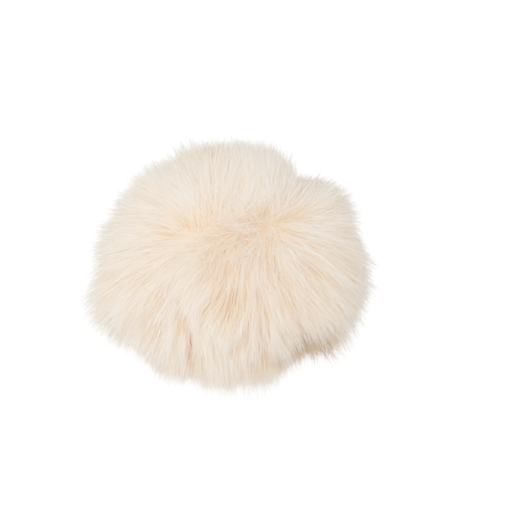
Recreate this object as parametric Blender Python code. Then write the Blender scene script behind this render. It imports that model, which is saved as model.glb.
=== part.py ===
"""Long-pile fur pom pom: one stuffed, gathered ball that rests on a small flat spot.

Units are metres, +Z is up. The origin is on the surface that the ball rests on, under the middle
of its box. The pile parts on the side that faces -Y and up, and +X is to the right of that side.
"""

import math
from collections import namedtuple

import bpy
import numpy as np
from mathutils import Vector

# Driving dimensions: the ball over its pile, before the locks rise from it or part
BALL_WIDTH = 0.1140  # along X
BALL_DEPTH = 0.1090  # along Y
BALL_HEIGHT = 0.0980  # along Z, before its own weight flattens the underside
REST_SINK = 0.0035  # how much of that height the weight takes off

# The face is the side where the pile parts; it looks this far up from the surface
FACE_LIFT = math.radians(40)

# The parting, the short line that the pile falls away from, as a point and half a length on the face
PARTING_RISE = math.radians(24)  # from the middle of the face, towards its top
PARTING_HALF = math.radians(13)  # to each side

# Small locks of pile all over the ball, set out from its top by the golden angle. Each is longer
# along the fall of the pile than across it, and its free end overlaps the next one.
SMALL_LOCKS = 120
SMALL_LOCK_STRAY = 0.45  # how far one lies from its even place, as a share of their spacing
SMALL_LOCK_RISE = 0.0024  # of its free end over the creases
SMALL_LOCK_STRETCH = 2.2  # length over width
CREASE_WIDTH = 0.16  # as a share of the ball's radius
ROOT_END_RISE = 0.35  # of its root end, as a share of the free end's

# The mesh: each step splits every triangle of an icosahedron in four, and then the flattest
# triangles are merged
SPHERE_STEPS = 6
KEPT_TRIANGLES = 0.45  # share of them
CUTTER_SIZE = 0.3  # of the cube that flattens the underside

# Big locks and partings. clock is round the face as its side is looked at, 0 at the top and 90 at
# the right; away is the angle from the face's middle, 90 on the ball's outline; spread is half the
# width; rise is in millimetres, and a parting between two locks has a negative one.
BigLock = namedtuple("BigLock", "clock away spread rise")
BIG_LOCKS = (
    BigLock(clock=4, away=88, spread=15, rise=2.8),
    BigLock(clock=35, away=90, spread=9, rise=-7.5),
    BigLock(clock=56, away=86, spread=11, rise=2.6),
    BigLock(clock=77, away=92, spread=14, rise=-5.0),
    BigLock(clock=108, away=90, spread=16, rise=-1.0),
    BigLock(clock=128, away=88, spread=9, rise=6.0),
    BigLock(clock=150, away=84, spread=11, rise=-12.0),
    BigLock(clock=151, away=108, spread=15, rise=-12.0),
    BigLock(clock=148, away=128, spread=12, rise=-8.0),
    BigLock(clock=176, away=88, spread=14, rise=-0.4),
    BigLock(clock=208, away=90, spread=12, rise=4.4),
    BigLock(clock=222, away=92, spread=5, rise=-2.2),
    BigLock(clock=248, away=90, spread=13, rise=7.6),
    BigLock(clock=272, away=88, spread=14, rise=4.8),
    BigLock(clock=309, away=88, spread=18, rise=4.8),
    BigLock(clock=331, away=92, spread=5, rise=-1.0),
    BigLock(clock=341, away=92, spread=6, rise=4.2),
    BigLock(clock=180, away=48, spread=22, rise=1.6),
    BigLock(clock=118, away=50, spread=18, rise=1.6),
    BigLock(clock=248, away=62, spread=16, rise=2.6),
    BigLock(clock=252, away=114, spread=16, rise=3.4),
    BigLock(clock=5, away=24, spread=12, rise=-2.2),
    BigLock(clock=60, away=140, spread=24, rise=2.4),
    BigLock(clock=150, away=138, spread=22, rise=2.0),
    BigLock(clock=285, away=142, spread=24, rise=2.6),
    BigLock(clock=15, away=165, spread=12, rise=-3.0),
)

FUR_CREAM = (0.80, 0.69, 0.57, 1.0)


def on_face(clock, away):
    """The direction from the ball's centre at these two angles, in radians."""
    middle = Vector((0, -math.cos(FACE_LIFT), math.sin(FACE_LIFT)))
    top = Vector((0, math.sin(FACE_LIFT), math.cos(FACE_LIFT)))
    right = Vector((1, 0, 0))
    sideways = right * math.sin(clock) + top * math.cos(clock)
    return middle * math.cos(away) + sideways * math.sin(away)


def golden_directions(count):
    """Directions spread evenly over a sphere."""
    turn = math.pi * (3 - math.sqrt(5)) * np.arange(count)
    height = 1 - (np.arange(count) + 0.5) * 2 / count
    level = np.sqrt(1 - height**2)
    return np.stack([level * np.cos(turn), level * np.sin(turn), height], axis=1)


def lock_axes():
    """Where the small locks lie, as directions: even places that stray, the same ones each time."""
    spacing = math.sqrt(4 * math.pi / SMALL_LOCKS)
    stray = np.random.default_rng(7).uniform(-0.5, 0.5, (SMALL_LOCKS, 3))
    axes = golden_directions(SMALL_LOCKS) + stray * 2 * SMALL_LOCK_STRAY * spacing
    return axes / np.linalg.norm(axes, axis=1, keepdims=True)


def falling_away(directions):
    """Along the surface, the way the pile falls: away from the nearest point of the parting."""
    middle = np.array(on_face(0, PARTING_RISE))
    right = np.array([1.0, 0.0, 0.0])
    along = np.clip(directions @ right, -math.sin(PARTING_HALF), math.sin(PARTING_HALF))
    away = directions - (middle + along[:, None] * right)
    away -= np.sum(away * directions, axis=1, keepdims=True) * directions
    return away / np.maximum(np.linalg.norm(away, axis=1, keepdims=True), 1e-9)


def big_lock_rise(directions):
    total = np.zeros(len(directions))
    for lock in BIG_LOCKS:
        axis = np.array(on_face(math.radians(lock.clock), math.radians(lock.away)))
        angle = np.arccos(np.clip(directions @ axis, -1, 1))
        total += lock.rise / 1000 * np.exp(-((angle / math.radians(lock.spread)) ** 2))
    return total


def small_lock_rise(directions):
    """Each direction belongs to its nearest small lock, which sinks into a crease at its border."""
    axes = lock_axes()
    fall = falling_away(axes)
    offset = directions[:, None, :] - axes[None, :, :]
    down = np.sum(offset * fall[None, :, :], axis=2)
    aside = np.sqrt(np.maximum(np.sum(offset**2, axis=2) - down**2, 0))
    apart = np.hypot(down / math.sqrt(SMALL_LOCK_STRETCH), aside * math.sqrt(SMALL_LOCK_STRETCH))

    rows = np.arange(len(directions))
    order = np.argsort(apart, axis=1)
    nearest, second = order[:, 0], order[:, 1]
    inside = np.clip((apart[rows, second] - apart[rows, nearest]) / CREASE_WIDTH, 0, 1)
    plump = inside * inside * (3 - 2 * inside)
    half_length = math.sqrt(4 / SMALL_LOCKS * SMALL_LOCK_STRETCH)
    free_end = np.clip(0.5 + 0.5 * down[rows, nearest] / half_length, 0, 1)
    return SMALL_LOCK_RISE * plump * (ROOT_END_RISE + (1 - ROOT_END_RISE) * free_end)


def make_ball(collection):
    bpy.ops.mesh.primitive_ico_sphere_add(subdivisions=SPHERE_STEPS, radius=1)
    ball = bpy.context.active_object
    ball.name = "fur_ball"
    ball.data.name = "fur_ball"
    for other in list(ball.users_collection):
        other.objects.unlink(ball)
    collection.objects.link(ball)

    points = np.empty(len(ball.data.vertices) * 3)
    ball.data.vertices.foreach_get("co", points)
    directions = points.reshape(-1, 3)
    directions /= np.linalg.norm(directions, axis=1, keepdims=True)

    half = np.array([BALL_WIDTH, BALL_DEPTH, BALL_HEIGHT]) / 2
    rise = big_lock_rise(directions) + small_lock_rise(directions)
    places = directions * half + directions * rise[:, None]

    places[:, :2] -= (places[:, :2].min(axis=0) + places[:, :2].max(axis=0)) / 2
    places[:, 2] += BALL_HEIGHT / 2 - REST_SINK
    ball.data.vertices.foreach_set("co", places.ravel())
    ball.data.update()
    ball.data.shade_smooth()
    merge = ball.modifiers.new("merge flattest", "DECIMATE")
    merge.ratio = KEPT_TRIANGLES
    return ball


def flatten_underside(ball, cutters):
    """What would hang below the surface is cut away, which leaves the flat spot."""
    bpy.ops.mesh.primitive_cube_add(size=CUTTER_SIZE, location=(0, 0, -CUTTER_SIZE / 2))
    cutter = bpy.context.active_object
    cutter.name = "below_surface"
    cutter.display_type = "WIRE"
    cutter.hide_render = True
    for other in list(cutter.users_collection):
        other.objects.unlink(cutter)
    cutters.objects.link(cutter)
    cut = ball.modifiers.new("flat spot", "BOOLEAN")
    cut.object = cutter
    cut.operation = "DIFFERENCE"
    cut.solver = "EXACT"


def fur_material():
    material = bpy.data.materials.new("faux_fur")
    material.use_nodes = True
    shader = material.node_tree.nodes["Principled BSDF"]
    shader.inputs["Base Color"].default_value = FUR_CREAM
    shader.inputs["Roughness"].default_value = 0.85
    shader.inputs["Metallic"].default_value = 0.0
    shader.inputs["Sheen Weight"].default_value = 0.5
    return material


def main():
    for leftover in list(bpy.data.objects):
        bpy.data.objects.remove(leftover)
    collection = bpy.data.collections.new("pom_pom")
    cutters = bpy.data.collections.new("cutters")
    bpy.context.scene.collection.children.link(collection)
    bpy.context.scene.collection.children.link(cutters)
    ball = make_ball(collection)
    flatten_underside(ball, cutters)
    ball.data.materials.append(fur_material())


main()
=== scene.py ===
import math
import bpy
import numpy as np
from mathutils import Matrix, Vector
from mathutils.bvhtree import BVHTree


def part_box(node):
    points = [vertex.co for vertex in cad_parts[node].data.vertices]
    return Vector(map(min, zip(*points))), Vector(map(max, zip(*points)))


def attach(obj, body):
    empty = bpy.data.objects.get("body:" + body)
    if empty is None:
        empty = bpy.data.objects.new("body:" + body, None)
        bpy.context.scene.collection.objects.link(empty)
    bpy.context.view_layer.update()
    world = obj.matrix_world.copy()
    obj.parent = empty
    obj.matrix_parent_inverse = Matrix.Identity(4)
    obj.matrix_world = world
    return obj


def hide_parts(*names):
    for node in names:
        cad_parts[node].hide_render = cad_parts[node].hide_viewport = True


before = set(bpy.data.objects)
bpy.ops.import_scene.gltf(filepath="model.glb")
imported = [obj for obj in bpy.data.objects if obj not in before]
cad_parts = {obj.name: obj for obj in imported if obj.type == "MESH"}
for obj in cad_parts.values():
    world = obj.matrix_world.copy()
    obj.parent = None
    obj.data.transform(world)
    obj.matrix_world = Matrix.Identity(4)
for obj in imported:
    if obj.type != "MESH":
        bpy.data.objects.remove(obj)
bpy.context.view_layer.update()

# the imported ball
ball = {
    "middleHeight": 0.47,     # share of the ball's height
    "faceLift": 40,           # degrees that the parted side looks up
    "gridRows": 180,          # rays from top to bottom that measure the surface
    "rayStart": 0.3,          # metres from the middle, well outside the ball
}

low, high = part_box("fur_ball")
ballMiddle = np.array([(low.x + high.x) / 2, (low.y + high.y) / 2, high.z * ball["middleHeight"]])
tiny = 1e-12                  # keeps a division off zero


def unit(v):
    return v / np.maximum(np.linalg.norm(v, axis=-1, keepdims=True), tiny)


def dot(a, b):
    return np.sum(a * b, axis=-1, keepdims=True)


def smooth(edge0, edge1, x):
    t = np.clip((x - edge0) / (edge1 - edge0), 0, 1)
    return t * t * (3 - 2 * t)


def smoothDegrees(edges, angle):
    return smooth(math.radians(edges[0]), math.radians(edges[1]), angle)


lift = math.radians(ball["faceLift"])
faceMiddle = np.array([0, -math.cos(lift), math.sin(lift)])
faceTop = np.array([0, math.sin(lift), math.cos(lift)])
faceRight = np.array([1.0, 0, 0])


def onFace(clock, away):
    # clock runs round the parted side from its top, away is the angle from its middle
    clock, away = math.radians(clock), math.radians(away)
    sideways = faceRight * math.sin(clock) + faceTop * math.cos(clock)
    return faceMiddle * math.cos(away) + sideways * math.sin(away)


def spiral(count):
    # even places over a whole ball
    turn = math.pi * (3 - math.sqrt(5)) * np.arange(count)
    height = 1 - (np.arange(count) + 0.5) * 2 / count
    level = np.sqrt(1 - height**2)
    return np.stack([level * np.cos(turn), level * np.sin(turn), height], axis=1)


# soft unevenness over the ball, as a sum of waves that run all ways
wave = {
    "count": 10,
    "lengths": (0.6, 1.5),    # their spread
    "height": 0.7,
}


def waves(directions, seed, scale):
    rng = np.random.default_rng(seed)
    count = wave["count"]
    way = unit(rng.normal(size=(count, 3))) * scale * rng.uniform(*wave["lengths"], (count, 1))
    start = rng.uniform(0, 2 * math.pi, count)
    return np.sin(directions @ way.T + start).sum(axis=1) / math.sqrt(count / 2) * wave["height"]


def measureSurface(rows):
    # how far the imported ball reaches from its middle, each way
    tree = BVHTree.FromPolygons(
        [v.co[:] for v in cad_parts["fur_ball"].data.vertices],
        [p.vertices[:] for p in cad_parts["fur_ball"].data.polygons])
    start = Vector(ballMiddle)
    reach = np.zeros((rows + 1, rows * 2))
    for i in range(rows + 1):
        polar = math.pi * i / rows
        for j in range(rows * 2):
            around = math.pi * j / rows
            way = Vector((math.sin(polar) * math.cos(around), math.sin(polar) * math.sin(around),
                          math.cos(polar)))
            hit = tree.ray_cast(start + way * ball["rayStart"], -way)
            reach[i, j] = (hit[0] - start).length
    return reach


surface = measureSurface(ball["gridRows"])
print("surface measured", surface.min(), surface.max())


def surfaceAt(directions):
    rows = ball["gridRows"]
    polar = np.arccos(np.clip(directions[..., 2], -1, 1)) / math.pi * rows
    around = (np.arctan2(directions[..., 1], directions[..., 0]) % (2 * math.pi)) / math.pi * rows
    i = np.clip(np.floor(polar).astype(int), 0, rows - 1)
    j = np.floor(around).astype(int)
    di, dj = polar - i, around - j
    j0, j1 = j % (rows * 2), (j + 1) % (rows * 2)
    upper = surface[i, j0] * (1 - dj) + surface[i, j1] * dj
    lower = surface[i + 1, j0] * (1 - dj) + surface[i + 1, j1] * dj
    return upper * (1 - di) + lower * di


# Places where the pile opens: both ends as (clock, away), width in degrees, depth as a share of the
# ball's radius, and warm, how much warmer and darker its strands are painted, as the opening's shade.
# The pile swells where the depth is negative, and a negative warmth paints it paler, as light. A
# strand is in one if the place at this share of its way from root to tip is.
strandPlace = 0.7             # where an opening gives no other
openings = [
    # the parting and its crease, painted warm and dark as their shade, with locks beside them painted
    # pale as light
    {"start": (315, 25), "end": (10, 24), "width": 8, "depth": 0.000, "warm": 0.10, "at": 0.4},
    {"start": (332, 18), "end": (8, 18), "width": 3.5, "depth": 0.014, "warm": 1.80, "at": 0.25},
    {"start": (352, 14), "end": (140, 8), "width": 2.8, "depth": 0.014, "warm": 1.70, "at": 0.25},
    {"start": (34, 27), "end": (58, 38), "width": 8, "depth": -0.008, "warm": -0.60, "at": 0.3},
    {"start": (44, 18), "end": (105, 17), "width": 6, "depth": -0.014, "warm": -0.60, "at": 0.5},
    {"start": (336, 12), "end": (240, 16), "width": 7, "depth": -0.012, "warm": -0.55},
    {"start": (44, 26), "end": (95, 24), "width": 8, "depth": -0.005, "warm": -0.70},
    # above it
    {"start": (15, 36), "end": (8, 58), "width": 11, "depth": 0.000, "warm": 0.20},
    {"start": (350, 72), "end": (356, 56), "width": 8, "depth": 0.020, "warm": 0.00},
    {"start": (31, 72), "end": (40, 54), "width": 8, "depth": 0.025, "warm": 0.05},
    # right
    {"start": (58, 46), "end": (75, 62), "width": 6, "depth": 0.015, "warm": 0.15},
    {"start": (84, 44), "end": (92, 62), "width": 8, "depth": 0.000, "warm": 0.30},
    {"start": (100, 44), "end": (104, 66), "width": 6, "depth": 0.015, "warm": 0.25},
    {"start": (120, 46), "end": (122, 66), "width": 9, "depth": 0.000, "warm": 0.30},
    # left
    {"start": (268, 24), "end": (261, 68), "width": 6, "depth": 0.020, "warm": 0.75},
    {"start": (245, 40), "end": (238, 66), "width": 8, "depth": 0.000, "warm": 0.15},
    # low right, where the lobe stands over the hollow
    {"start": (112, 31), "end": (142, 30), "width": 5, "depth": 0.015, "warm": 0.60},
    {"start": (146, 57), "end": (131, 61), "width": 7, "depth": 0.080, "warm": 0.00},
    # low middle
    {"start": (200, 18), "end": (204, 30), "width": 4, "depth": 0.004, "warm": 0.15},
    {"start": (204, 33), "end": (204, 54), "width": 6, "depth": 0.000, "warm": -0.90},
    {"start": (166, 30), "end": (163, 46), "width": 3, "depth": 0.010, "warm": 0.25},
    {"start": (168, 56), "end": (220, 60), "width": 10, "depth": 0.000, "warm": 0.20},
    # round the outline, clockwise: top, notch, low right lobe, bottom, low left lobe, tuft at the top
    {"start": (10, 86), "end": (38, 86), "width": 8, "depth": 0.030, "warm": 0.00},
    {"start": (34, 106), "end": (39, 70), "width": 6, "depth": 0.120, "warm": 0.00},
    {"start": (120, 90), "end": (120, 80), "width": 5, "depth": 0.060, "warm": 0.00},
    {"start": (136, 84), "end": (144, 84), "width": 7, "depth": -0.140, "warm": 0.00},
    {"start": (155, 94), "end": (194, 94), "width": 13, "depth": 0.150, "warm": 0.00},
    {"start": (218, 90), "end": (238, 90), "width": 8, "depth": 0.030, "warm": 0.00},
    {"start": (232, 88), "end": (252, 84), "width": 12, "depth": -0.070, "warm": 0.00},
    {"start": (249, 92), "end": (249, 84), "width": 5, "depth": -0.060, "warm": 0.00},
    {"start": (283, 88), "end": (292, 88), "width": 8, "depth": -0.030, "warm": 0.00},
    {"start": (297, 86), "end": (305, 86), "width": 7, "depth": 0.035, "warm": 0.00},
    {"start": (337, 92), "end": (338, 86), "width": 3, "depth": -0.080, "warm": 0.00},
]

# the hollow under the low right lobe, whose strands are painted brown as its dark shade
hollow = {"start": (145, 66), "end": (136, 78), "width": 10}
hollowEdge = (0.3, 0.5)       # from pile to hollow, 1 is on its line

# along the parting's creases the roots keep their darker, warmer colour, as painted shade
creaseRootShade = [
    {"start": (350, 18), "end": (36, 22), "width": 5},
    {"start": (20, 16), "end": (110, 8), "width": 4},
]


def insideLine(directions, line):
    start, end = onFace(*line["start"]), onFace(*line["end"])
    run = end - start
    along = np.clip((directions - start) @ run / (run @ run), 0, 1)[:, None]
    gap = np.arccos(np.clip(dot(directions, unit(start + along * run))[:, 0], -1, 1))
    return np.exp(-(gap / math.radians(line["width"]))**2)


def openingAt(root, tip):
    depth = np.zeros(len(root))
    warm = np.zeros(len(root))
    for opening in openings:
        at = opening.get("at", strandPlace)
        inside = insideLine(unit(root * (1 - at) + tip * at), opening)
        depth += opening["depth"] * inside
        warm += opening["warm"] * inside
    return depth, warm


# The parting's lines: their ends as (clock, away). The pile above falls from the upper line and the
# pile below from the lower ones. The last two are a crease that runs down from the parting.
parting = {
    "upper": [((312, 28), (45, 38))],
    "lower": [((350, 18), (42, 26)), ((42, 26), (49, 43)), ((14, 18), (66, 9)), ((66, 9), (118, 9))],
    "blend": 2.5,             # degrees over which the lines share a strand
    "between": 0.12,          # half of the band between above and below, over the radius
    "otherSide": 0.5,         # radians by which the other side's lines count as farther
    "droop": 0.25,            # pull of the strands' own weight
    "droopEdge": (0, 30),     # degrees from the parting over which it sets in
}


def fromParting(directions):
    # the way from the nearest point of the parting, and how far off it is
    left, right = parting["upper"][0]
    over = unit(np.cross(onFace(*right), onFace(*left)))
    above = smooth(-parting["between"], parting["between"], directions @ over)
    away = np.zeros_like(directions)
    nearestAngle = np.full(len(directions), 2 * math.pi)
    total = np.zeros(len(directions))
    for side, share in (("upper", above), ("lower", 1 - above)):
        for start, end in parting[side]:
            start, end = onFace(*start), onFace(*end)
            run = end - start
            along = np.clip((directions - start) @ run / (run @ run), 0, 1)[:, None]
            nearest = unit(start + along * run)
            angle = np.arccos(np.clip(dot(directions, nearest)[:, 0], -1, 1))
            one = directions - nearest
            one = unit(one - dot(one, directions) * directions)
            weight = share * np.exp(-angle / math.radians(parting["blend"])) + tiny
            away += one * weight[:, None]
            total += weight
            nearestAngle = np.minimum(nearestAngle, angle + (1 - share) * parting["otherSide"])
    away = unit(away / total[:, None])
    sag = np.array([0, 0, -1.0]) + directions[:, 2:] * directions
    away += sag * parting["droop"] * smoothDegrees(parting["droopEdge"], nearestAngle)[:, None]
    return unit(away - dot(away, directions) * directions), nearestAngle


def nearPoint(directions, clock, away, spread):
    apart = np.arccos(np.clip(directions @ onFace(clock, away), -1, 1))
    return np.exp(-(apart / math.radians(spread))**2)


# places where the pile lies askew: clock, away and spread in degrees, and its turn in
# degrees, clockwise as the ball is looked at from outside
drifts = [
    {"clock": 350, "away": 70, "spread": 24, "turn": 12},
    {"clock": 8, "away": 36, "spread": 12, "turn": 58},
    {"clock": 356, "away": 62, "spread": 14, "turn": 22},
    {"clock": 55, "away": 64, "spread": 20, "turn": -40},
    {"clock": 300, "away": 62, "spread": 12, "turn": -32},
    {"clock": 266, "away": 64, "spread": 14, "turn": -36},
    {"clock": 290, "away": 22, "spread": 11, "turn": 36},
    {"clock": 137, "away": 46, "spread": 14, "turn": -26},
    {"clock": 66, "away": 20, "spread": 11, "turn": 90},
    {"clock": 45, "away": 30, "spread": 8, "turn": 60},
    {"clock": 220, "away": 10, "spread": 9, "turn": 40},
    {"clock": 180, "away": 18, "spread": 10, "turn": 40},
    {"clock": 165, "away": 30, "spread": 10, "turn": 32},
    {"clock": 330, "away": 12, "spread": 8, "turn": 60},
    {"clock": 47, "away": 50, "spread": 12, "turn": -22},
    {"clock": 193, "away": 35, "spread": 11, "turn": -15},
    {"clock": 243, "away": 56, "spread": 14, "turn": 10},
]
# and the pile's swings all over, broad ones and small ones
swings = [
    {"seed": 5, "scale": 4.0, "turn": 4},
    {"seed": 6, "scale": 9.0, "turn": 4},
]


def askew(directions):
    turn = np.zeros(len(directions))
    for swing in swings:
        turn += math.radians(swing["turn"]) * waves(directions, swing["seed"], swing["scale"])
    for drift in drifts:
        near = nearPoint(directions, drift["clock"], drift["away"], drift["spread"])
        turn -= math.radians(drift["turn"]) * near
    return turn


def turned(way, directions, angle):
    return way * np.cos(angle)[:, None] + np.cross(directions, way) * np.sin(angle)[:, None]


def travelled(directions, way, angle):
    return unit(directions * np.cos(angle)[:, None] + way * np.sin(angle)[:, None])


# a strand's tone picks its colour, and the colours between run into each other; the gap and hollow
# tones are painted shade, and the guard hairs' grey tone is painted shade round the outline
tones = {"pale": 0, "warm": 1, "gap": 2, "hollowShade": 3, "guardRimShade": 3.8}

# how the pile lies: fibres gather into wisps, and wisps into locks
lay = {
    "seed": 11,
    "travel": 24,             # degrees that a strand lies round the ball
    "travelAtParting": 24,
    "partingReach": (0, 42),  # degrees over which the pile lies down
    "behind": (140, 175),     # degrees from the parting where the pile comes together again
    "behindShorter": 0.75,    # and how much shorter it lies there
    "messy": (4, 20),         # degrees from the parting over which its matted wisps end
    "messSwing": 15,          # degrees, of those wisps
    "messStray": 11,          # and of their fibres
    "open": (4, 32),          # degrees from the parting over which the roots are painted paler, as light in its shade
    "rootsPaintedPaler": 0.45,        # how far along its colours a strand starts there
    "rimTone": 0.20,
    "middleWarmer": 0.56,     # tone, on the parted side
}
locks = {
    "count": 1500,
    "stray": 0.025,           # of their roots from even places, over the radius
    "lengths": (0.8, 1.2),
    "swing": 4,               # degrees
    "swingAt": 0.7,           # share of its way where the lay of the pile turns a lock
    "toneSpread": 0.4,
    "deeperShade": 0.6,        # a lock that lies deeper is painted warmer and darker, as shade
    "warmShare": 1.3,         # how strongly the warm ones are
    "paleShare": 0.7,         # and the pale ones
    "long": 0.38,             # 0 is a round lock, 0.5 is an endless one
    "half": 0.065,            # half of its length over the ball's radius
    "stepOut": 0.4,           # how far its free end stands out, like a shingle's
    "stepLightAndShade": 0.9,          # and how much paler that end is painted, as light, and its other end darker, as shade
}
wispLay = {
    "count": 32000,
    "stray": 0.012,           # of their roots from even places, over the radius
    "mixed": 0.018,           # how far they reach into the next lock
    "lengths": (0.75, 1.15),
    "swing": 5,               # degrees
    "pulls": (0.6, 1.3),      # spread of the pull to the lock's tip
    "deeperShade": 0.3,        # a wisp that lies deeper is painted warmer and darker, as shade
    "tipFar": 0.973,          # where they end, as a share of the surface's distance
    "tipMost": 1.05,
    "looserAtParting": 0.65,
}
# the low middle is shaggy and the rest is smooth: how unevenly the tips of wisps and of locks stand
# out, how hard a lock pulls its wisps together, how uneven their tones are with the painted shade of
# deeper ones and the painted light on the locks' ends, how loosely a wisp's tip lies in metres, how
# much shorter the strands are, and how uneven the fibres' tones are
smoothPile = {"tips": 0.003, "locks": 0.008, "pull": 0.10, "tone": 0.05, "tip": 0.0029, "shorter": 0.0,
              "fibre": 0.0}
shaggyPile = {"tips": 0.025, "locks": 0.056, "pull": 0.65, "tone": 1.40, "tip": 0.0007,
              "shorter": 0.30, "fibre": 0.55}
shaggyPlace = {"clock": 190, "away": 48, "spread": 35}
warmPlace = {"clock": 184, "away": 56, "spread": 46}


def travelOf(angle):
    most, least = math.radians(lay["travel"]), math.radians(lay["travelAtParting"])
    ending = 1 - lay["behindShorter"] * smoothDegrees(lay["behind"], angle)
    return (least + (most - least) * smoothDegrees(lay["partingReach"], angle)) * ending


def shagAt(directions, name):
    share = nearPoint(directions, **shaggyPlace)
    return smoothPile[name] + (shaggyPile[name] - smoothPile[name]) * share


def layLocks(rng):
    count = locks["count"]
    root = unit(spiral(count) + rng.normal(scale=locks["stray"], size=(count, 3)))
    way, angle = fromParting(root)
    mess = 1 - smoothDegrees(lay["messy"], angle)
    travel = travelOf(angle) * (1 - shagAt(root, "shorter")) * rng.uniform(*locks["lengths"], count)
    swing = askew(travelled(root, way, travel * locks["swingAt"]))
    swing += rng.normal(scale=math.radians(locks["swing"]), size=count)
    swing += mess * rng.normal(scale=math.radians(lay["messSwing"]), size=count)
    way = turned(way, root, swing)
    tip = travelled(root, way, travel)
    out = rng.normal(size=count)
    # a lock that lies deeper is painted warmer and darker, as shade
    tone = locks["toneSpread"] * rng.normal(size=count) - locks["deeperShade"] * out
    tone *= shagAt(tip, "tone") * np.where(tone > 0, locks["warmShare"], locks["paleShare"])
    return {"root": root, "way": way, "swing": swing, "tip": tip, "out": shagAt(tip, "locks") * out,
            "tone": tone}


def layWisps():
    rng = np.random.default_rng(lay["seed"])
    lock = layLocks(rng)
    print("locks laid", locks["count"])

    count = wispLay["count"]
    root = unit(spiral(count) + rng.normal(scale=wispLay["stray"], size=(count, 3)))
    near = unit(root + rng.normal(scale=wispLay["mixed"], size=(count, 3)))
    owner = (near @ lock["root"].T + locks["long"] * (near @ lock["way"].T) ** 2).argmax(axis=1)
    ahead = dot(root - lock["root"][owner], lock["way"][owner])[:, 0] / locks["half"]
    ahead = np.clip(ahead, -1, 1)
    way, angle = fromParting(root)
    mess = 1 - smoothDegrees(lay["messy"], angle)
    swing = lock["swing"][owner] + rng.normal(scale=math.radians(wispLay["swing"]), size=count)
    swing += mess * rng.normal(scale=math.radians(lay["messSwing"]), size=count)
    travel = travelOf(angle) * (1 - shagAt(root, "shorter")) * rng.uniform(*wispLay["lengths"], count)
    tip = travelled(root, turned(way, root, swing), travel)
    pull = shagAt(tip, "pull") * rng.uniform(*wispLay["pulls"], count) * (1 - mess)
    tip = unit(tip + (lock["tip"][owner] - tip) * pull[:, None])

    # the openings' depth, and their warmth: painted shade in the openings, painted light where it is
    # negative
    depth, warm = openingAt(root, tip)
    out = rng.normal(size=count)
    far = wispLay["tipFar"] + lock["out"][owner] + shagAt(tip, "tips") * out
    far += shagAt(tip, "locks") * locks["stepOut"] * ahead
    far = np.minimum(far, wispLay["tipMost"]) - depth

    warm += lay["middleWarmer"] * nearPoint(tip, **warmPlace)
    tone = lay["rimTone"] + warm + lock["tone"][owner]
    # a wisp that lies deeper is painted warmer and darker, as shade
    tone -= shagAt(tip, "tone") * wispLay["deeperShade"] * out
    # a lock's free end is painted paler, as light, and its root end under the lock above warmer, as
    # shade
    tone -= shagAt(tip, "tone") * locks["stepLightAndShade"] * ahead
    # the hollow's strands take the brown tone, painted shade under the lobe
    hollowShade = smooth(*hollowEdge, insideLine(tip, hollow))
    tone = np.clip(tone, tones["pale"], tones["gap"]) * (1 - hollowShade) + tones["hollowShade"] * hollowShade

    # roots near the parting start paler, painted light in its shade, but not along its creases
    paleRootShare = 1 - smoothDegrees(lay["open"], angle)
    for line in creaseRootShade:
        paleRootShare *= 1 - insideLine(root, line)
    bunch = shagAt(tip, "tip") * (1 + wispLay["looserAtParting"] * mess)
    return {"root": root, "tip": tip, "far": far, "tone": tone, "mess": mess, "bunch": bunch,
            "start": lay["rootsPaintedPaler"] * paleRootShare}


wisps = layWisps()
print("wisps laid", wispLay["count"])

# the three coats, from the inside out
coats = {
    "underfur": {             # short, dense and warm, it fills the pile from below
        "pieces": 1,
        "fibres": 40000,
        "stations": (0, 0.5, 1),     # points along each fibre
        "lie": (0.35, 0.75),         # share of its wisp's way that a fibre goes
        "stray": 3,                  # degrees that it strays from that way
        "reach": (-0.13, -0.04),     # of its tip past its wisp's, as a share of the ball's radius
        "bunch": 2.0,                # how loosely the tips of one wisp lie
        "wisps": 1.0,                # share of the wisps that have such fibres
        "flatten": 1.4,              # 1 is straight out to the tip, more lies down towards it
        "width": 0.00015,
        "tone": 0.05,
    },
    "pile": {
        "pieces": 4,
        "fibres": 134000,
        "stations": (0, 0.38, 0.72, 1),
        "lie": (0.85, 1.05),
        "stray": 2,
        "reach": (-0.02, 0.02),
        "bunch": 1.0,
        "wisps": 1.0,
        "flatten": 1.4,
        "width": 0.00013,
        "tone": 0.0,
    },
    "guard_hairs": {          # long and thin, they stand out past the pile
        "pieces": 1,
        "fibres": 34000,
        "stations": (0, 0.38, 0.72, 1),
        "lie": (0.7, 0.95),
        "stray": 9,
        "reach": (0.00, 0.155),
        "bunch": 0.30,
        "wisps": 0.12,
        "flatten": 1.0,
        "width": 0.00015,
        "tone": None,                # painted grey towards the outline, as its shade, and take their wisp's tone within
    },
}
guardRimShade = {
    "rimShadeFrom": (73, 84),     # degrees from the parted side's middle over which more are painted grey, as the outline's shade
    "tone": 0.5,              # share of their wisp's tone that the others take
}
# one fibre: lengths are in metres unless they are shares
fibre = {
    "rootFar": 0.74,          # where it starts, as a share of the surface's distance
    "rootUneven": (-0.05, 0.04),
    "wispWidth": 0.0015,      # how far the roots of one wisp lie apart
    "reachSpread": 0.007,     # of its tip, as a share of the ball's radius
    "shorter": 0.25,          # the most that it ends before its tip's place, a share
    "loosest": 0.004,         # how far its tip may lie off its wisp's
    "loosenSpread": 0.6,
    "loosenMost": 0.8,
    "curl": 0.0007,
    "curlSpread": (0.3, 1.6),
    "curlTurn": 6,            # radians from root to tip
    "curlierAtParting": 1.5,
    "travelBend": 1.15,       # over 1 it leaves its root straight out
    "gatherBend": 0.8,        # under 1 the wisp closes near its roots
    "aboveFloor": 0.0003,
    "aboveFloorMore": 0.0008,
    "widthSpread": 0.3,
    "roll": 0.8,              # radians round its own length
    "rollMost": 1.3,
    "taper": 0.5,             # share of its width lost before its last stretch
}


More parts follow.
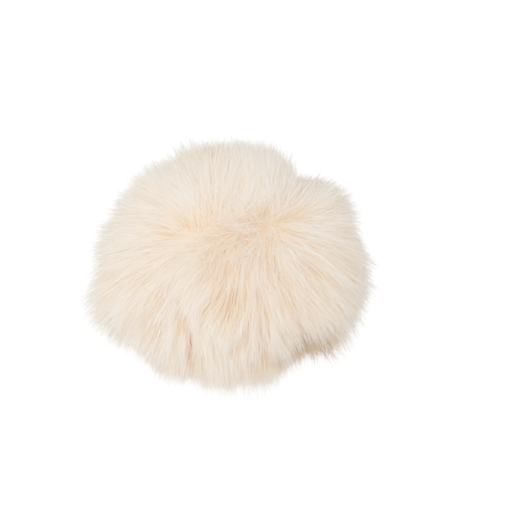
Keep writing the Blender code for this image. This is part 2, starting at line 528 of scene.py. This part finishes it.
def growCoat(coat, seed):
    rng = np.random.default_rng(seed)
    count = coat["fibres"]
    used = rng.permutation(wispLay["count"])[:int(wispLay["count"] * coat["wisps"])]
    own = rng.choice(used, count)
    reach = rng.uniform(*coat["reach"], wispLay["count"])[own]
    reach += rng.normal(scale=fibre["reachSpread"], size=count)
    root, mess = wisps["root"][own], wisps["mess"][own]
    tip = unit(root + (wisps["tip"][own] - root) * rng.uniform(*coat["lie"], count)[:, None])
    stray = np.radians(coat["stray"] + lay["messStray"] * mess)
    tip = unit(root + turned(tip - root, root, stray * rng.normal(size=count)))
    rootReach = surfaceAt(root) * (fibre["rootFar"] + rng.uniform(*fibre["rootUneven"], count))
    tipReach = surfaceAt(tip) * (wisps["far"][own] + reach)
    rootOff = rng.normal(scale=fibre["wispWidth"], size=(count, 3))
    loosen = np.exp(np.minimum(fibre["loosenSpread"] * rng.normal(size=count), fibre["loosenMost"]))
    bunch = wisps["bunch"][own] * coat["bunch"] * loosen
    tipOff = np.clip(rng.normal(size=(count, 3)) * bunch[:, None], -fibre["loosest"], fibre["loosest"])
    length = 1 - fibre["shorter"] * rng.random(count) ** 2
    curlWay = unit(rng.normal(size=(count, 3)))
    curlStart = rng.uniform(0, 2 * math.pi, count)
    curlSize = fibre["curl"] * rng.uniform(*fibre["curlSpread"], count)
    curlSize *= 1 + fibre["curlierAtParting"] * mess

    places = np.empty((count, len(coat["stations"]), 3))
    for k, station in enumerate(coat["stations"]):
        s = station * length
        along = (s**fibre["travelBend"])[:, None]
        rise = 1 - (1 - s) ** coat["flatten"]
        middle = unit(root * (1 - along) + tip * along)
        middle *= (rootReach + (tipReach - rootReach) * rise)[:, None]
        gather = (s**fibre["gatherBend"])[:, None]
        curl = curlWay * (curlSize * np.sin(curlStart + s * fibre["curlTurn"]))[:, None] * station
        places[:, k] = ballMiddle + middle + rootOff * (1 - gather) + tipOff * gather + curl
    lowest = fibre["aboveFloor"] + rng.uniform(0, fibre["aboveFloorMore"], count)[:, None]
    places[..., 2] = np.maximum(places[..., 2], lowest)

    wispTone = wisps["tone"][own]
    if coat["tone"] is None:
        # guard hairs towards the outline take the grey tone, painted shade of the rim
        angle = np.arccos(np.clip(tip @ faceMiddle, -1, 1))
        rimShaded = rng.random(count) < smoothDegrees(guardRimShade["rimShadeFrom"], angle)
        tone = np.where(rimShaded, tones["guardRimShade"], wispTone * guardRimShade["tone"])
        tone = np.where(wispTone > tones["gap"], wispTone, tone)    # all take the hollow's painted brown shade
    else:
        tone = wispTone + coat["tone"] + shagAt(tip, "fibre") * rng.normal(size=count)
        tone = np.clip(tone, tones["pale"], tones["hollowShade"])
    width = coat["width"] * np.exp(rng.normal(scale=fibre["widthSpread"], size=count))
    roll = np.clip(rng.normal(scale=fibre["roll"], size=count), -fibre["rollMost"], fibre["rollMost"])
    return {"places": places, "tone": tone, "start": wisps["start"][own], "width": width, "roll": roll}


# on the strands' map, across is the tone and up is from the root to the tip
strandMap = {
    "edge": 0.01,
    "toneStep": 0.24,         # of one tone
    "strandWidth": 0.004,
}


def ribbonMesh(name, strands, chosen, stations):
    # each strand is a thin ribbon that tapers to a point and faces outward, rolled a little
    places, tone = strands["places"][chosen], strands["tone"][chosen]
    width, roll = strands["width"][chosen], strands["roll"][chosen]
    count = len(places)
    stations = np.array(stations)
    along = unit(np.gradient(places, axis=1))
    side = unit(np.cross(along, unit(places - ballMiddle)))
    up = unit(np.cross(side, along))
    roll = roll[:, None, None]
    across = side * np.cos(roll) + up * np.sin(roll)
    half = width[:, None, None] / 2 * (1 - fibre["taper"] * stations[:-1]**2)[None, :, None]
    left = places[:, :-1] - across[:, :-1] * half
    right = places[:, :-1] + across[:, :-1] * half
    edges = np.stack([left, right], axis=2).reshape(count, -1, 3)
    verts = np.concatenate([edges, places[:, -1:]], axis=1)
    perStrand = verts.shape[1]
    pattern = []
    for a in range(0, perStrand - 3, 2):
        pattern += [(a, a + 1, a + 3), (a, a + 3, a + 2)]
    pattern += [(perStrand - 3, perStrand - 2, perStrand - 1)]
    faces = np.array(pattern)[None] + (np.arange(count) * perStrand)[:, None, None]
    faces = faces.reshape(-1, 3)

    mesh = bpy.data.meshes.new(name)
    mesh.vertices.add(count * perStrand)
    mesh.vertices.foreach_set("co", verts.astype(np.float32).ravel())
    mesh.loops.add(len(faces) * 3)
    mesh.loops.foreach_set("vertex_index", faces.astype(np.int32).ravel())
    mesh.polygons.add(len(faces))
    mesh.polygons.foreach_set("loop_start", np.arange(len(faces), dtype=np.int32) * 3)
    mesh.polygons.foreach_set("loop_total", np.full(len(faces), 3, dtype=np.int32))

    edge, wide = strandMap["edge"], strandMap["strandWidth"]
    sideStep = np.array([0, wide] * (len(stations) - 1) + [wide / 2])
    u = edge + strandMap["toneStep"] * tone[:, None] + sideStep[None]
    rise = np.append(np.repeat(stations[:-1], 2), 1.0)
    start = strands["start"][chosen][:, None]
    v = edge + (1 - 2 * edge) * (start + (1 - start) * rise[None])
    uv = np.stack([u, v], axis=-1).reshape(-1, 2)[faces.ravel()]
    for layerName in ("strandMap", "OFBake"):
        layer = mesh.uv_layers.new(name=layerName)
        layer.uv.foreach_set("vector", uv.astype(np.float32).ravel())
    mesh.update()
    mesh.validate()
    mesh.shade_smooth()
    return mesh


# how the pile's colour changes from the root to the tip, for each tone: the darker, warmer roots are
# partly the pile's own colour and partly painted shade deep in the pile, and the gap, hollow and grey
# guard tones are painted shade
pileColour = {
    "pale": [(0.45, (0.994, 0.946, 0.872, 1)), (0.95, (0.997, 0.978, 0.947, 1))],
    "warm": [(0.50, (0.993, 0.905, 0.775, 1)), (0.97, (0.996, 0.966, 0.918, 1))],
    "gap": [(0.50, (0.985, 0.882, 0.745, 1)), (0.97, (0.991, 0.912, 0.795, 1))],
    "hollowShade": [(0.35, (0.740, 0.570, 0.410, 1)), (0.90, (0.800, 0.665, 0.510, 1))],
    "guardRimShade": [(0.40, (0.985, 0.955, 0.900, 1)), (0.90, (0.840, 0.810, 0.735, 1))],
}
pileShine = {
    "through": 0.40,          # share of the light that passes through a fibre
    "rimShadeEdge": (3.3, 3.5),  # tones over which the hollow's painted brown shade turns to the guard hairs' painted grey rim shade
    "grain": 60,
    "roughness": (0.45, 0.70),
    "bump": 0.08,
    "bumpHeight": 0.0001,
    "specular": 0.15,
}


def lengthRamp(nt, place, stops):
    ramp = nt.nodes.new("ShaderNodeValToRGB")
    for element, (position, colour) in zip(ramp.color_ramp.elements, stops):
        element.position = position
        element.color = colour
    nt.links.new(place, ramp.inputs[0])
    return ramp.outputs[0]


def toneMix(nt, tone, edges, below, above):
    # one colour below the first tone, the other above the second
    share = nt.nodes.new("ShaderNodeMapRange")
    share.inputs["From Min"].default_value = edges[0] * strandMap["toneStep"]
    share.inputs["From Max"].default_value = edges[1] * strandMap["toneStep"]
    nt.links.new(tone, share.inputs["Value"])
    mix = nt.nodes.new("ShaderNodeMix")
    mix.data_type = "RGBA"
    nt.links.new(share.outputs["Result"], mix.inputs[0])
    nt.links.new(below, mix.inputs[6])
    nt.links.new(above, mix.inputs[7])
    return mix.outputs[2]


def grainOf(nt, shader, noise, finish):
    # roughness and a fine bump from one noise
    rough = nt.nodes.new("ShaderNodeMapRange")
    rough.inputs["To Min"].default_value, rough.inputs["To Max"].default_value = finish["roughness"]
    nt.links.new(noise.outputs["Fac"], rough.inputs["Value"])
    nt.links.new(rough.outputs["Result"], shader.inputs["Roughness"])
    bump = nt.nodes.new("ShaderNodeBump")
    bump.inputs["Strength"].default_value = finish["bump"]
    bump.inputs["Distance"].default_value = finish["bumpHeight"]
    nt.links.new(noise.outputs["Fac"], bump.inputs["Height"])
    nt.links.new(bump.outputs["Normal"], shader.inputs["Normal"])


def pileFinish():
    mat = bpy.data.materials.new("creamPile")
    mat.use_nodes = True
    nt = mat.node_tree
    shader = nt.nodes["Principled BSDF"]
    uv = nt.nodes.new("ShaderNodeUVMap")
    uv.uv_map = "strandMap"
    split = nt.nodes.new("ShaderNodeSeparateXYZ")
    nt.links.new(uv.outputs["UV"], split.inputs[0])
    tone, place = split.outputs["X"], split.outputs["Y"]
    ramps = {name: lengthRamp(nt, place, stops) for name, stops in pileColour.items()}
    colour = toneMix(nt, tone, (tones["pale"], tones["warm"]), ramps["pale"], ramps["warm"])
    colour = toneMix(nt, tone, (tones["warm"], tones["gap"]), colour, ramps["gap"])
    colour = toneMix(nt, tone, (tones["gap"], tones["hollowShade"]), colour, ramps["hollowShade"])
    colour = toneMix(nt, tone, pileShine["rimShadeEdge"], colour, ramps["guardRimShade"])
    nt.links.new(colour, shader.inputs["Base Color"])

    grain = nt.nodes.new("ShaderNodeTexNoise")
    grain.inputs["Scale"].default_value = pileShine["grain"]
    nt.links.new(uv.outputs["UV"], grain.inputs["Vector"])
    grainOf(nt, shader, grain, pileShine)
    shader.inputs["Specular IOR Level"].default_value = pileShine["specular"]

    through = nt.nodes.new("ShaderNodeBsdfTranslucent")
    nt.links.new(colour, through.inputs[0])
    both = nt.nodes.new("ShaderNodeMixShader")
    both.inputs[0].default_value = pileShine["through"]
    nt.links.new(shader.outputs[0], both.inputs[1])
    nt.links.new(through.outputs[0], both.inputs[2])
    nt.links.new(both.outputs[0], nt.nodes["Material Output"].inputs["Surface"])
    return mat


def onBall(piece, finish):
    piece.data.materials.append(finish)
    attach(piece, "root")
    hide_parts("fur_ball")


furFinish = pileFinish()
for coatNumber, (coatName, coat) in enumerate(coats.items()):
    strands = growCoat(coat, lay["seed"] + 1 + coatNumber)
    middles = strands["places"].mean(axis=1) - ballMiddle
    roundOrder = np.argsort(np.arctan2(middles[:, 1], middles[:, 0]), kind="stable")
    for number, chosen in enumerate(np.array_split(roundOrder, coat["pieces"]), 1):
        name = coatName if coat["pieces"] == 1 else f"{coatName}_{number}"
        mesh = ribbonMesh(name, strands, chosen, coat["stations"])
        piece = bpy.data.objects.new(name, mesh)
        bpy.context.scene.collection.objects.link(piece)
        onBall(piece, furFinish)
        print(name, len(mesh.polygons), "triangles")

# the stuffed middle that the fibres are rooted in
stuffing = {
    "meshSteps": 5,
    "far": 0.76,              # share of the surface's distance
    "uneven": 0.02,
    "unevenSeed": 21,
    "unevenScale": 9,
    "dents": 0.5,             # share of the pile's openings that it sinks by
    "aboveFloor": 0.0005,
    "fill": 0.9,
    "dark": (0.94, 0.78, 0.64, 1),
    "light": (0.97, 0.85, 0.74, 1),
    "grain": 240,
    "grainDetail": 4,
    "roughness": (0.8, 0.95),
    "bump": 0.5,
    "bumpHeight": 0.0006,
}


def stuffingFinish():
    mat = bpy.data.materials.new("underfur")
    mat.use_nodes = True
    nt = mat.node_tree
    shader = nt.nodes["Principled BSDF"]
    coords = nt.nodes.new("ShaderNodeTexCoord")
    noise = nt.nodes.new("ShaderNodeTexNoise")
    noise.inputs["Scale"].default_value = stuffing["grain"]
    noise.inputs["Detail"].default_value = stuffing["grainDetail"]
    nt.links.new(coords.outputs["Object"], noise.inputs["Vector"])
    ramp = nt.nodes.new("ShaderNodeValToRGB")
    ramp.color_ramp.elements[0].color = stuffing["dark"]
    ramp.color_ramp.elements[1].color = stuffing["light"]
    nt.links.new(noise.outputs["Fac"], ramp.inputs[0])
    nt.links.new(ramp.outputs[0], shader.inputs["Base Color"])
    grainOf(nt, shader, noise, stuffing)
    return mat


bpy.ops.mesh.primitive_ico_sphere_add(subdivisions=stuffing["meshSteps"], radius=1)
core = bpy.context.active_object
core.name = "stuffed_middle"
co = np.empty(len(core.data.vertices) * 3)
core.data.vertices.foreach_get("co", co)
directions = unit(co.reshape(-1, 3))
uneven = waves(directions, stuffing["unevenSeed"], stuffing["unevenScale"])
dents, _ = openingAt(directions, directions)
share = stuffing["far"] + stuffing["uneven"] * uneven - stuffing["dents"] * dents
co = ballMiddle + directions * (surfaceAt(directions) * share)[:, None]
co[:, 2] = np.maximum(co[:, 2], stuffing["aboveFloor"])
core.data.vertices.foreach_set("co", co.ravel())
core.data.shade_smooth()
onBall(core, stuffingFinish())
print("middle stuffed")

studio = {
    "lens": 85,
    "sensor": 36,
    "frameWidth": 0.2213,     # metres of the scene that the frame takes in at the ball
    "lookDown": 40,           # degrees
    "right": 0.0130,          # of the frame's middle from the ball's
    "up": 0.0013,
    "skyDark": 0.34,          # the studio's light from behind the ball
    "skyLight": 1.76,         # and from the side that it is looked at from
    "skyWay": (-0.28, -0.59, 0.76),
    "keyPower": 1.6,
    "keySize": 1.0,
    "keyPlace": (-0.40, -0.25, 1.25),
    "floorSize": 6,
    "floorShade": 0.50,
    "floorRoughness": 0.9,
    "floorGlow": 0.24,
    "floorSeenGlow": 1.00,    # more of it for the camera alone, so that the paper looks white
    "bounces": 48,            # pale fur passes light on many times
}

world = bpy.data.worlds.new("studio")
bpy.context.scene.world = world
world.use_nodes = True
nt = world.node_tree
coords = nt.nodes.new("ShaderNodeTexCoord")
facing = nt.nodes.new("ShaderNodeVectorMath")
facing.operation = "DOT_PRODUCT"
facing.inputs[1].default_value = studio["skyWay"]
nt.links.new(coords.outputs["Generated"], facing.inputs[0])
sky = nt.nodes.new("ShaderNodeMapRange")
sky.inputs["To Min"].default_value = studio["skyDark"]
sky.inputs["To Max"].default_value = studio["skyLight"]
nt.links.new(facing.outputs["Value"], sky.inputs["Value"])
nt.links.new(sky.outputs["Result"], nt.nodes["Background"].inputs[1])
nt.nodes["Background"].inputs[0].default_value = (1, 1, 1, 1)

bpy.ops.mesh.primitive_plane_add(size=studio["floorSize"])
floor = bpy.context.active_object
floor.name = "pale_floor"
floorMat = bpy.data.materials.new("palePaper")
floorMat.use_nodes = True
nt = floorMat.node_tree
paper = nt.nodes["Principled BSDF"]
paper.inputs["Base Color"].default_value = (studio["floorShade"],) * 3 + (1,)
paper.inputs["Roughness"].default_value = studio["floorRoughness"]
paper.inputs["Emission Color"].default_value = (1, 1, 1, 1)
rays = nt.nodes.new("ShaderNodeLightPath")
glow = nt.nodes.new("ShaderNodeMapRange")
glow.inputs["To Min"].default_value = studio["floorGlow"]
glow.inputs["To Max"].default_value = studio["floorGlow"] + studio["floorSeenGlow"]
nt.links.new(rays.outputs["Is Camera Ray"], glow.inputs["Value"])
nt.links.new(glow.outputs["Result"], paper.inputs["Emission Strength"])
floor.data.materials.append(floorMat)

key = bpy.data.lights.new("softKey", "AREA")
key.energy = studio["keyPower"]
key.size = studio["keySize"]
keyLamp = bpy.data.objects.new("softKey", key)
keyLamp.location = studio["keyPlace"]
keyLamp.rotation_euler = (Vector(ballMiddle) - keyLamp.location).to_track_quat("-Z", "Y").to_euler()
bpy.context.scene.collection.objects.link(keyLamp)

boxMiddle = Vector(((low.x + high.x) / 2, (low.y + high.y) / 2, (low.z + high.z) / 2))
down = math.radians(studio["lookDown"])
back = Vector((0, -math.cos(down), math.sin(down)))
up = Vector((0, math.sin(down), math.cos(down)))
target = boxMiddle + Vector((1, 0, 0)) * studio["right"] + up * studio["up"]
distance = studio["frameWidth"] * studio["lens"] / studio["sensor"]
lens = bpy.data.cameras.new("camera")
lens.lens = studio["lens"]
lens.sensor_width = studio["sensor"]
camera = bpy.data.objects.new("camera", lens)
camera.location = target + back * distance
camera.rotation_euler = (target - camera.location).to_track_quat("-Z", "Y").to_euler()
bpy.context.scene.collection.objects.link(camera)
bpy.context.scene.camera = camera

# a camera's own tone curve: it holds back the brightest part, and white is at the last point
toneCurve = [(0.30, 0.31), (0.50, 0.52), (0.80, 0.745), (1.00, 0.85), (1.20, 0.93), (1.45, 1.0)]
view = bpy.context.scene.view_settings
view.view_transform = "Standard"
view.use_curve_mapping = True
curves = view.curve_mapping
white = toneCurve[-1][0]
curves.white_level = (white,) * 3
allColours = curves.curves[3]
for light, shown in toneCurve[:-1]:
    allColours.points.new(light / white, shown)
curves.update()
cycles = bpy.context.scene.cycles
cycles.max_bounces = studio["bounces"]
cycles.diffuse_bounces = studio["bounces"]
cycles.transmission_bounces = studio["bounces"]
print("studio set")
